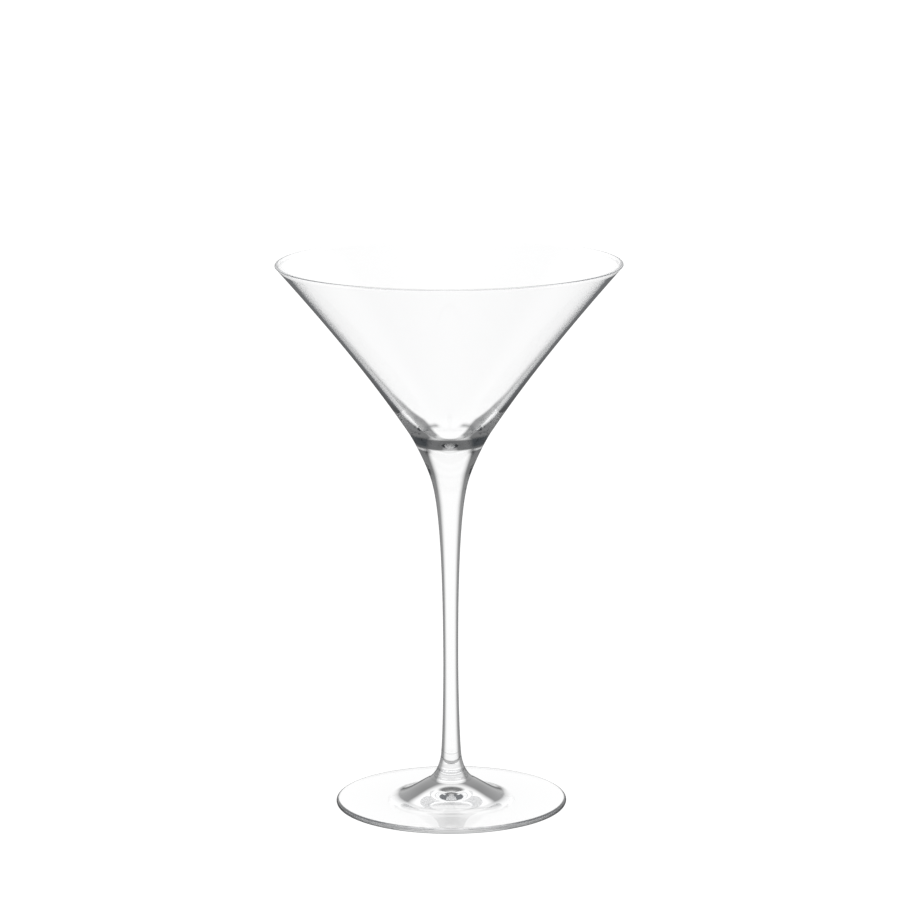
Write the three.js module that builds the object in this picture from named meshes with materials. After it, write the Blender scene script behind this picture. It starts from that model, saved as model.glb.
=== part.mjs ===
// Martini glass: a blown conical bowl on a drawn stem and a pressed round foot.
// The three pieces of glass are fused end to end, on one upright axis.
// Units are millimetres and +Z is up.
// The origin is the centre of the plane that the foot rests on.

import * as THREE from 'three';

// Heights of the joints between the pieces, and the radius of the glass there
const totalHeight = 175;
const bowlJointHeight = 108;
const bowlJointRadius = 6.72;
const stemJointHeight = 16.3;
const stemJointRadius = 3.2;

// Bowl: the solid base widens to a shoulder, and the wall flares from there to the rim.
const rimRadius = 54.6;
const rimWall = 0.9;
const shoulder = at(12.98, 121);
const wellEdge = at(9, 121.4);
const wellHeight = 116.2;

// Stem: its narrowest place
const waist = at(2.38, 46);

// Foot: a disc with a dome on it and a hollow under it
const footRadius = 36.9;
const footThickness = 1.75;
const plateRise = 0.15;
const domeRadius = 20.6;
const domeTop = at(7.1, 8);
const hollowRadius = 20;
const hollowHeight = 3.3;

// How each curved stretch leaves its first point and arrives at its last one.
// The numbers are steps outward and upward, along the way that the outline is drawn.
const baseCurve = { leave: at(1.46, 4), arrive: at(2.15, 3.5) };
const outerWallCurve = { leave: at(8, 12), arrive: at(22.6, 26.1) };
const innerWallCurve = { leave: at(-27.1, -30.15), arrive: at(-5.64, -5.47) };
const wellCurve = { leave: at(-3.07, -2.98), arrive: at(-2.28, 0) };
const lowStemCurve = { leave: at(-0.68, 7.9), arrive: at(0, 2) };
const highStemCurve = { leave: at(0, 47), arrive: at(1.97, 5.35) };
const hollowCurve = { leave: at(7.3, 0), arrive: at(7.3, 0) };
const domeCurve = { leave: at(-5.2, 0.32), arrive: at(-3.8, 1.9) };
const neckCurve = { leave: at(-2.1, 1.5), arrive: at(-0.35, 3.7) };

// Fineness of the turned surfaces
const wideTurns = 72;
const stemTurns = 48;
const wallSteps = 10;
const bendSteps = 6;
const edgeSteps = 4;

const clearGlass = { color: 0xf2f7f8, roughness: 0.04, metalness: 0, transparent: true, opacity: 0.35 };

function at(radius, height) {
  return new THREE.Vector2(radius, height);
}

// An outline is made stretch by stretch, from the axis round the section and back to the axis.
// Each stretch is a curve with its own number of steps, and starts where the last one ended.
function outlineOf(stretches) {
  const points = [];
  for (const [curve, steps] of stretches) {
    const stretch = curve.getPoints(steps);
    if (points.length > 0) stretch.shift();
    points.push(...stretch);
  }
  return points;
}

function line(start, end) {
  return [new THREE.LineCurve(start, end), 1];
}

function bend(start, end, curve, steps) {
  const startHandle = start.clone().add(curve.leave);
  const endHandle = end.clone().sub(curve.arrive);
  return [new THREE.CubicBezierCurve(start, startHandle, endHandle, end), steps];
}

// A half turn of rounded edge, from one angle to another in radians
function roundEdge(centre, edgeRadius, startAngle, endAngle) {
  const arc = new THREE.EllipseCurve(centre.x, centre.y, edgeRadius, edgeRadius, startAngle, endAngle, false);
  return [arc, edgeSteps];
}

// Turns an outline round the Z axis into a named solid.
function turned(name, outline, turns) {
  const geometry = new THREE.LatheGeometry(outline, turns);
  geometry.rotateX(Math.PI / 2);
  const mesh = new THREE.Mesh(geometry, new THREE.MeshStandardMaterial(clearGlass));
  mesh.name = name;
  return mesh;
}

// The bowl has a thin wall under a rounded lip, and a small pointed well over its solid base.
function makeBowl() {
  const lip = rimWall / 2;
  const lipHeight = totalHeight - lip;
  const joint = at(bowlJointRadius, bowlJointHeight);
  const outerRim = at(rimRadius, lipHeight);
  const innerRim = at(rimRadius - rimWall, lipHeight);
  const outline = outlineOf([
    line(at(0, bowlJointHeight), joint),
    bend(joint, shoulder, baseCurve, bendSteps),
    bend(shoulder, outerRim, outerWallCurve, wallSteps),
    roundEdge(at(rimRadius - lip, lipHeight), lip, 0, Math.PI),
    bend(innerRim, wellEdge, innerWallCurve, wallSteps),
    bend(wellEdge, at(0, wellHeight), wellCurve, bendSteps),
  ]);
  return turned('bowl', outline, wideTurns);
}

// The stem narrows from the bowl's base to a waist, and widens again to meet the foot.
function makeStem() {
  const low = at(stemJointRadius, stemJointHeight);
  const high = at(bowlJointRadius, bowlJointHeight);
  const outline = outlineOf([
    line(at(0, stemJointHeight), low),
    bend(low, waist, lowStemCurve, bendSteps),
    bend(waist, high, highStemCurve, wallSteps),
    line(high, at(0, bowlJointHeight)),
  ]);
  return turned('stem', outline, stemTurns);
}

// The foot rests on the flat ring outside its hollow, and its neck meets the stem.
function makeFoot() {
  const edge = footThickness / 2;
  const edgeCentre = at(footRadius - edge, edge);
  const ringInside = at(hollowRadius, 0);
  const domeEdge = at(domeRadius, footThickness + plateRise);
  const neck = at(stemJointRadius, stemJointHeight);
  const outline = outlineOf([
    bend(at(0, hollowHeight), ringInside, hollowCurve, bendSteps),
    line(ringInside, at(edgeCentre.x, 0)),
    roundEdge(edgeCentre, edge, -Math.PI / 2, Math.PI / 2),
    line(at(edgeCentre.x, footThickness), domeEdge),
    bend(domeEdge, domeTop, domeCurve, bendSteps),
    bend(domeTop, neck, neckCurve, bendSteps),
    line(neck, at(0, stemJointHeight)),
  ]);
  return turned('foot', outline, wideTurns);
}

const martiniGlass = new THREE.Group();
martiniGlass.name = 'martini_glass';
martiniGlass.add(makeBowl(), makeStem(), makeFoot());

export default martiniGlass;
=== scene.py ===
import math

import bmesh
import bpy
from mathutils import Matrix, Vector


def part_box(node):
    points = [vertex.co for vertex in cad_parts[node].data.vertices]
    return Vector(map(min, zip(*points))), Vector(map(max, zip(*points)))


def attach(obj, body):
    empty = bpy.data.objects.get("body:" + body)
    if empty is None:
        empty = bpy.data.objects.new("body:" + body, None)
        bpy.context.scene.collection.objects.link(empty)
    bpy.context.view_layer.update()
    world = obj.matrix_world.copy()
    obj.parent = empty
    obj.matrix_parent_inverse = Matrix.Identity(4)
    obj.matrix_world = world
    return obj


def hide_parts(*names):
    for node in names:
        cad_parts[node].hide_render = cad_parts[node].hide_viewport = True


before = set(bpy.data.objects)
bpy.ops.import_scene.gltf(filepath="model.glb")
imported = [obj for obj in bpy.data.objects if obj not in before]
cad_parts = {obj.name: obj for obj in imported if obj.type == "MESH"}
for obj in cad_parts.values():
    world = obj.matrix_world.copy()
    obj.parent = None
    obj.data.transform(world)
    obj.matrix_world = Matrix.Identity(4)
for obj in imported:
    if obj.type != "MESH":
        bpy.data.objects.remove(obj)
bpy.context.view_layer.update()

MM = 0.001

# Fineness of the turned surfaces
TURNS = 256
WALL_STEPS = 90
BEND_STEPS = 48
EDGE_STEPS = 16
PLATE_STEPS = 24

# A point whose radius is less than this is on the axis
ON_AXIS = 1e-7

# Stations on the axis and radii, from the CAD nodes
bowl_low, bowl_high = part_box("bowl")
stem_low, stem_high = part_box("stem")
foot_low, foot_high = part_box("foot")
RIM_RADIUS = bowl_high.x
TOP = bowl_high.z
BOWL_JOINT = bowl_low.z
STEM_JOINT = stem_low.z
BOWL_JOINT_RADIUS = stem_high.x
FOOT_RADIUS = foot_high.x


def at(radius, height):
    """A point of an outline, or a step along it, from millimetres."""
    return Vector((radius, height)) * MM


# Sections of the glass that the boxes don't give
SHOULDER = at(12.98, 121)
RIM_WALL = 0.9 * MM
WELL_EDGE = at(9, 121.4)
WELL_BOTTOM = at(0, 116.2)
WAIST = at(2.38, 46)
STEM_JOINT_RADIUS = 3.2 * MM
FOOT_THICKNESS = 1.75 * MM
PLATE_RISE = 0.15 * MM
DOME_RADIUS = 20.6 * MM
DOME_TOP = at(7.1, 8)
HOLLOW_RADIUS = 20 * MM
HOLLOW_HEIGHT = 3.3 * MM

# How each curved stretch leaves its first point and arrives at its last one
BASE_CURVE = at(1.46, 4), at(2.15, 3.5)
OUTER_WALL_CURVE = at(8, 12), at(22.6, 26.1)
INNER_WALL_CURVE = at(-27.1, -30.15), at(-5.64, -5.47)
WELL_CURVE = at(-3.07, -2.98), at(-2.28, 0)
LOW_STEM_CURVE = at(-0.68, 7.9), at(0, 2)
HIGH_STEM_CURVE = at(0, 47), at(1.97, 5.35)
HOLLOW_CURVE = at(7.3, 0), at(7.3, 0)
DOME_CURVE = at(-5.2, 0.32), at(-3.8, 1.9)
NECK_CURVE = at(-2.1, 1.5), at(-0.35, 3.7)

# Which of a piece's two materials a stretch of its outline has
GLASS, JOINT = 0, 1


# ---------------------------------------------------------------- outlines

def line(start, end, steps=1):
    return [start.lerp(end, i / steps) for i in range(steps + 1)]


def bend(start, end, curve, steps):
    leave, arrive = curve
    start_handle = start + leave
    end_handle = end - arrive
    points = []
    for i in range(steps + 1):
        t = i / steps
        s = 1 - t
        near_start = start * s**3 + start_handle * (3 * s * s * t)
        near_end = end_handle * (3 * s * t * t) + end * t**3
        points.append(near_start + near_end)
    return points


def round_edge(centre, radius, start_angle, end_angle):
    turn = end_angle - start_angle
    angles = [start_angle + turn * i / EDGE_STEPS for i in range(EDGE_STEPS + 1)]
    return [centre + radius * Vector((math.cos(a), math.sin(a))) for a in angles]


def bowl_outline():
    lip = RIM_WALL / 2
    lip_height = TOP - lip
    joint = Vector((BOWL_JOINT_RADIUS, BOWL_JOINT))
    outer_rim = Vector((RIM_RADIUS, lip_height))
    lip_centre = Vector((RIM_RADIUS - lip, lip_height))
    inner_rim = Vector((RIM_RADIUS - RIM_WALL, lip_height))
    return [
        (line(Vector((0, BOWL_JOINT)), joint), JOINT),
        (bend(joint, SHOULDER, BASE_CURVE, BEND_STEPS), GLASS),
        (bend(SHOULDER, outer_rim, OUTER_WALL_CURVE, WALL_STEPS), GLASS),
        (round_edge(lip_centre, lip, 0, math.pi), GLASS),
        (bend(inner_rim, WELL_EDGE, INNER_WALL_CURVE, WALL_STEPS), GLASS),
        (bend(WELL_EDGE, WELL_BOTTOM, WELL_CURVE, BEND_STEPS), GLASS),
    ]


def stem_outline():
    low = Vector((STEM_JOINT_RADIUS, STEM_JOINT))
    high = Vector((BOWL_JOINT_RADIUS, BOWL_JOINT))
    return [
        (line(Vector((0, STEM_JOINT)), low), JOINT),
        (bend(low, WAIST, LOW_STEM_CURVE, BEND_STEPS), GLASS),
        (bend(WAIST, high, HIGH_STEM_CURVE, WALL_STEPS), GLASS),
        (line(high, Vector((0, BOWL_JOINT))), JOINT),
    ]


def foot_outline():
    edge = FOOT_THICKNESS / 2
    edge_centre = Vector((FOOT_RADIUS - edge, edge))
    hollow_top = Vector((0, HOLLOW_HEIGHT))
    ring_inside = Vector((HOLLOW_RADIUS, 0))
    ring_outside = Vector((edge_centre.x, 0))
    plate_edge = Vector((edge_centre.x, FOOT_THICKNESS))
    dome_edge = Vector((DOME_RADIUS, FOOT_THICKNESS + PLATE_RISE))
    neck = Vector((STEM_JOINT_RADIUS, STEM_JOINT))
    return [
        (bend(hollow_top, ring_inside, HOLLOW_CURVE, BEND_STEPS), GLASS),
        (line(ring_inside, ring_outside, PLATE_STEPS), GLASS),
        (round_edge(edge_centre, edge, -math.pi / 2, math.pi / 2), GLASS),
        (line(plate_edge, dome_edge, PLATE_STEPS), GLASS),
        (bend(dome_edge, DOME_TOP, DOME_CURVE, BEND_STEPS), GLASS),
        (bend(DOME_TOP, neck, NECK_CURVE, BEND_STEPS), GLASS),
        (line(neck, Vector((0, STEM_JOINT))), JOINT),
    ]


# ---------------------------------------------------------------- meshes

def turned(name, stretches, materials):
    """Turns an outline round the Z axis into one closed mesh, with a material for each stretch."""
    points = [stretches[0][0][0]]
    kinds = []
    for stretch, kind in stretches:
        points += stretch[1:]
        kinds += [kind] * (len(stretch) - 1)
    bm = bmesh.new()
    rings = []
    for p in points:
        if p.x < ON_AXIS:
            rings.append([bm.verts.new((0, 0, p.y))])
        else:
            rings.append([
                bm.verts.new((
                    p.x * math.sin(2 * math.pi * i / TURNS),
                    -p.x * math.cos(2 * math.pi * i / TURNS),
                    p.y,
                ))
                for i in range(TURNS)
            ])
    for low, high, kind in zip(rings, rings[1:], kinds):
        for i in range(TURNS):
            j = (i + 1) % TURNS
            below = [low[i % len(low)], low[j % len(low)]]
            above = [high[j % len(high)], high[i % len(high)]]
            face = bm.faces.new(list(dict.fromkeys(below + above)))
            face.material_index = kind
            face.smooth = True
    for edge in bm.edges:
        if len({f.material_index for f in edge.link_faces}) == 2:
            edge.smooth = False
    mesh = bpy.data.meshes.new(name)
    bm.to_mesh(mesh)
    bm.free()
    for material in materials:
        mesh.materials.append(material)
    piece = bpy.data.objects.new(name, mesh)
    bpy.context.scene.collection.objects.link(piece)
    return piece


# ---------------------------------------------------------------- materials

class Nodes:
    """Builds a material's node tree, one value at a time."""

    def __init__(self, name, empty=False):
        self.material = bpy.data.materials.new(name)
        self.material.use_nodes = True
        self.tree = self.material.node_tree
        if empty:
            self.tree.nodes.clear()

    def add(self, kind, **inputs):
        node = self.tree.nodes.new("ShaderNode" + kind)
        for socket, value in inputs.items():
            self.set(node.inputs[socket.replace("_", " ")], value)
        return node

    def set(self, socket, value):
        if isinstance(value, bpy.types.NodeSocket):
            self.tree.links.new(value, socket)
        else:
            socket.default_value = value

    def math(self, operation, *values):
        node = self.add("Math")
        node.operation = operation
        for socket, value in zip(node.inputs, values):
            self.set(socket, value)
        return node.outputs["Value"]

    def smooth(self, value, start, end, low, high):
        """Goes smoothly from low to high while value goes from start to end."""
        node = self.add("MapRange", Value=value, From_Min=start, From_Max=end)
        self.set(node.inputs["To Min"], low)
        self.set(node.inputs["To Max"], high)
        node.interpolation_type = "SMOOTHSTEP"
        return node.outputs["Result"]


IOR = 1.5

# A faint glow, which stands in for light that is trapped in the glass
TRAPPED_COLOUR = (0.9, 0.94, 1, 1)
TRAPPED_LIGHT = 0.01

# Painted shade: the glass's colour darkens as it turns away. It stands in for the dark
# surroundings that thick glass shows at its sides, which this even studio doesn't have,
# and it was set against the photo. It paints the dark lines down the stem and the dark wings
# beside the dome.
# Turn is 0 face on and 1 edge on. At each height in mm: turn where it starts, turn where it ends,
# and what is left of the light there, squared, because a ray goes in and out.
EDGE_SHADE = (
    (0, 0.2, 0.7, 1),
    (1.9, 0.2, 0.7, 1),
    (2.6, 0.49, 0.57, 0.03),
    (4, 0.42, 0.51, 0.03),
    (6, 0.34, 0.45, 0.03),
    (8, 0.22, 0.38, 0.05),
    (13, 0.08, 0.4, 0.1),
    (98, 0.12, 0.42, 0.08),
    (108, 0.24, 0.46, 0.04),
    (114, 0.33, 0.48, 0.03),
    (116.5, 0.33, 0.46, 0.02),
    (117, 0.33, 0.46, 0.6),
    (117.5, 0.33, 0.46, 0.6),
    (118, 0.33, 0.46, 0.02),
    (121.6, 0.3, 0.4, 0.03),
    (122.9, 0.32, 0.42, 0.03),
    (124.6, 0.41, 0.52, 0.03),
    (126.5, 0.5, 0.6, 0.04),
    (133, 0.66, 0.82, 0.12),
    (150, 0.76, 0.94, 0.25),
    (175, 0.82, 1, 0.4),
)

# Painted shade on the foot's edge too, darker as it turns away, from inside to outside these radii
FOOT_EDGE = 35.8 * MM, 36.4 * MM
FOOT_EDGE_LEFT = 0.1

# and a little painted shade on its rim from every side
FOOT_RIM = 36.45 * MM, 36.7 * MM
FOOT_RIM_LEFT = 0.38

# A painted dark band round the base, which stands in for the dark zone beside the well. It starts
# and ends over these heights, begins over these radii, and is left out where the glass is nearly
# face on.
BAND_LOW = 116.6 * MM, 117.4 * MM
BAND_HIGH = 120.5 * MM, 121.9 * MM
BAND_INSIDE = 7 * MM, 8.5 * MM
BAND_TURN = 0.18, 0.25
BAND_LEFT = 0.02

# The colour of the darkest painted shade
SHADE_TINT = (0.001, 0.0015, 0.002, 1)
WHITE = (1, 1, 1, 1)

# Faint rings that the tools leave: cycles a metre along each axis, how deep they are, and the
# heights over which the foot's rings give way to the stem's
RING_SCALE = (25, 25, 700)
RING_DETAIL = 3
FOOT_RING_DEPTH = 0.012 * MM
STEM_RING_DEPTH = 0.001 * MM
FOOT_RINGS_END = 10 * MM, 20 * MM


def clear_glass():
    nodes = Nodes("clear_glass")
    shader = nodes.tree.nodes["Principled BSDF"]
    shader.inputs["Roughness"].default_value = 0
    shader.inputs["IOR"].default_value = IOR
    shader.inputs["Transmission Weight"].default_value = 1
    shader.inputs["Emission Color"].default_value = TRAPPED_COLOUR
    shader.inputs["Emission Strength"].default_value = TRAPPED_LIGHT
    place = nodes.add("TexCoord").outputs["Object"]
    x, y, height = nodes.add("SeparateXYZ", Vector=place).outputs
    across = nodes.math("ADD", nodes.math("MULTIPLY", x, x), nodes.math("MULTIPLY", y, y))
    radius = nodes.math("SQRT", across)
    turn = nodes.add("LayerWeight", Blend=0.5).outputs["Facing"]

    by_height = nodes.add("ValToRGB", Fac=nodes.math("DIVIDE", height, TOP))
    stops = by_height.color_ramp.elements
    while len(stops) < len(EDGE_SHADE):
        stops.new(1)
    for stop, (level, start, end, left) in zip(stops, EDGE_SHADE):
        stop.position = level * MM / TOP
        stop.color = (start, end, left, 1)
    start, end, left = nodes.add("SeparateColor", Color=by_height.outputs["Color"]).outputs
    in_foot = nodes.math("LESS_THAN", height, STEM_JOINT)
    edge_loss = nodes.smooth(radius, *FOOT_EDGE, 0, 1 - FOOT_EDGE_LEFT)
    at_edge = nodes.math("MULTIPLY", in_foot, edge_loss)
    shade = nodes.smooth(turn, start, end, 1, nodes.math("SUBTRACT", left, at_edge))

    above_low = nodes.smooth(height, *BAND_LOW, 0, 1)
    band = nodes.math("MULTIPLY", above_low, nodes.smooth(height, *BAND_HIGH, 1, 0))
    band = nodes.math("MULTIPLY", band, nodes.smooth(radius, *BAND_INSIDE, 0, 1))
    band = nodes.math("MULTIPLY", band, nodes.smooth(turn, *BAND_TURN, 0, 1))
    band_shade = nodes.math("MULTIPLY_ADD", band, BAND_LEFT - 1, 1)

    rim = nodes.math("MULTIPLY", in_foot, nodes.smooth(radius, *FOOT_RIM, 0, 1))
    rim_shade = nodes.math("MULTIPLY_ADD", rim, FOOT_RIM_LEFT - 1, 1)
    # All the painted shade, from the turn, the band and the foot's edge and rim, goes into the base
    # colour
    light = nodes.math("MULTIPLY", shade, nodes.math("MULTIPLY", band_shade, rim_shade))
    colour = nodes.add("ValToRGB", Fac=light)
    dark, clear = colour.color_ramp.elements
    dark.color = SHADE_TINT
    clear.color = WHITE
    nodes.set(shader.inputs["Base Color"], colour.outputs["Color"])

    mapping = nodes.add("Mapping", Vector=place, Scale=RING_SCALE)
    rings = nodes.add("TexNoise", Vector=mapping.outputs["Vector"], Scale=1)
    nodes.set(rings.inputs["Detail"], RING_DETAIL)
    depth = nodes.smooth(height, *FOOT_RINGS_END, FOOT_RING_DEPTH, STEM_RING_DEPTH)
    relief = nodes.math("MULTIPLY", rings.outputs["Fac"], depth)
    bump = nodes.add("Bump", Height=relief, Strength=1, Distance=1)
    nodes.set(shader.inputs["Normal"], bump.outputs["Normal"])
    return nodes.material


def fused_joint():
    """The faces where two pieces meet let everything through, as they do when fused."""
    nodes = Nodes("fused_joint", empty=True)
    nodes.add("OutputMaterial", Surface=nodes.add("BsdfTransparent").outputs["BSDF"])
    return nodes.material


# ---------------------------------------------------------------- the glass

glass = clear_glass()
joint = fused_joint()
for name, outline, node in (
    ("bowl_glass", bowl_outline(), "bowl"),
    ("stem_glass", stem_outline(), "stem"),
    ("foot_glass", foot_outline(), "foot"),
):
    piece = turned(name, outline, [glass, joint])
    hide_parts(node)
    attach(piece, "root")


# ---------------------------------------------------------------- camera

# The photo's camera: a long lens, a little above the rim
CAMERA_PLACE = (0.00005, -1.2483, 0.3622)
CAMERA_PITCH = math.radians(11.19)
CAMERA_ROLL = math.radians(-0.25)
LENS = 161.05
SENSOR = 36
CLIP_START = 0.01
CLIP_END = 100

camera_data = bpy.data.cameras.new("camera")
camera_data.lens = LENS
camera_data.sensor_width = SENSOR
camera_data.clip_start = CLIP_START
camera_data.clip_end = CLIP_END
camera = bpy.data.objects.new("camera", camera_data)
camera.location = CAMERA_PLACE
tilt = Matrix.Rotation(math.pi / 2 - CAMERA_PITCH, 3, "X")
camera.rotation_euler = (tilt @ Matrix.Rotation(CAMERA_ROLL, 3, "Z")).to_euler()
bpy.context.scene.collection.objects.link(camera)
bpy.context.scene.camera = camera


# ---------------------------------------------------------------- studio

# What the camera sees behind the glass: a pale floor and a pale wall of the same white
BACKDROP = 1.1
FLOOR_LEVEL = -0.0003
FLOOR_REACH = 9

floor_light = Nodes("floor_white", empty=True)
shine = floor_light.add("Emission", Color=WHITE, Strength=BACKDROP)
floor_light.add("OutputMaterial", Surface=shine.outputs["Emission"])
floor_mesh = bpy.data.meshes.new("floor")
floor_corners = [
    (x * FLOOR_REACH, y * FLOOR_REACH, FLOOR_LEVEL)
    for x, y in ((-1, -1), (1, -1), (1, 1), (-1, 1))
]
floor_mesh.from_pydata(floor_corners, [], [(0, 1, 2, 3)])
floor_mesh.materials.append(floor_light.material)
floor = bpy.data.objects.new("floor", floor_mesh)
bpy.context.scene.collection.objects.link(floor)
floor.visible_transmission = False
floor.visible_glossy = False

world = bpy.data.worlds.new("studio")
bpy.context.scene.world = world
world.use_nodes = True
background = world.node_tree.nodes["Background"]
background.inputs["Color"].default_value = WHITE
background.inputs["Strength"].default_value = BACKDROP
world.cycles_visibility.transmission = False
world.cycles_visibility.glossy = False
world.cycles_visibility.diffuse = False

# What the glass lets through: a dome that is white all round, dark above, paler at the top and
# dimmer below. The angles are elevations.
DOME_SIZE = 6
WALL_WHITE = 1.01
UPPER_START = math.radians(36)
UPPER_END = math.radians(50)
UPPER_GREY = 0.12
TOP_START = math.radians(56)
TOP_END = math.radians(86)
TOP_GREY = 0.75
LOWER_START = math.radians(-45)
LOWER_END = math.radians(-57)
LOWER_GREY = 0.85
BELOW_START = math.radians(-72)
BELOW_END = math.radians(-84)
BELOW_WHITE = 0.9

# What the glass reflects: a room that is dim below and bright above, between these heights
ROOM_SIZE = 7
ROOM_START = -0.2
ROOM_END = 1.2
ROOM_LOW = 0.15
ROOM_HIGH = 1.1

# Fineness of both
SPHERE_TURNS = 96
SPHERE_STEPS = 48


def surround(name, size, strength_at):
    """A sphere of light round the glass, whose strength is worked out from the place on it."""
    nodes = Nodes(name, empty=True)
    place = nodes.add("TexCoord").outputs["Object"]
    height = nodes.add("SeparateXYZ", Vector=place).outputs["Z"]
    light = nodes.add("Emission", Strength=strength_at(nodes, height))
    nodes.add("OutputMaterial", Surface=light.outputs["Emission"])
    bm = bmesh.new()
    bmesh.ops.create_uvsphere(bm, u_segments=SPHERE_TURNS, v_segments=SPHERE_STEPS, radius=size)
    mesh = bpy.data.meshes.new(name)
    bm.to_mesh(mesh)
    bm.free()
    mesh.materials.append(nodes.material)
    sphere = bpy.data.objects.new(name, mesh)
    bpy.context.scene.collection.objects.link(sphere)
    sphere.visible_camera = False
    return sphere


def dome_strength(nodes, height):
    elevation = nodes.math("ARCSINE", nodes.math("DIVIDE", height, DOME_SIZE))
    upper = nodes.smooth(elevation, UPPER_START, UPPER_END, WALL_WHITE, UPPER_GREY)
    top = nodes.smooth(elevation, TOP_START, TOP_END, 0, TOP_GREY - UPPER_GREY)
    lower = nodes.smooth(elevation, LOWER_END, LOWER_START, LOWER_GREY - WALL_WHITE, 0)
    below = nodes.smooth(elevation, BELOW_END, BELOW_START, BELOW_WHITE - LOWER_GREY, 0)
    return nodes.math("ADD", nodes.math("ADD", upper, top), nodes.math("ADD", lower, below))


def room_strength(nodes, height):
    return nodes.smooth(height, ROOM_START, ROOM_END, ROOM_LOW, ROOM_HIGH)


surround("dome", DOME_SIZE, dome_strength).visible_glossy = False
surround("room", ROOM_SIZE, room_strength).visible_transmission = False

# Thick glass needs many bounces, and the early ones are never cut short, which keeps grain out
scene = bpy.context.scene
scene.view_settings.view_transform = "Standard"
scene.cycles.max_bounces = 32
scene.cycles.transmission_bounces = 32
scene.cycles.glossy_bounces = 16
scene.cycles.transparent_max_bounces = 32
scene.cycles.min_light_bounces = 12
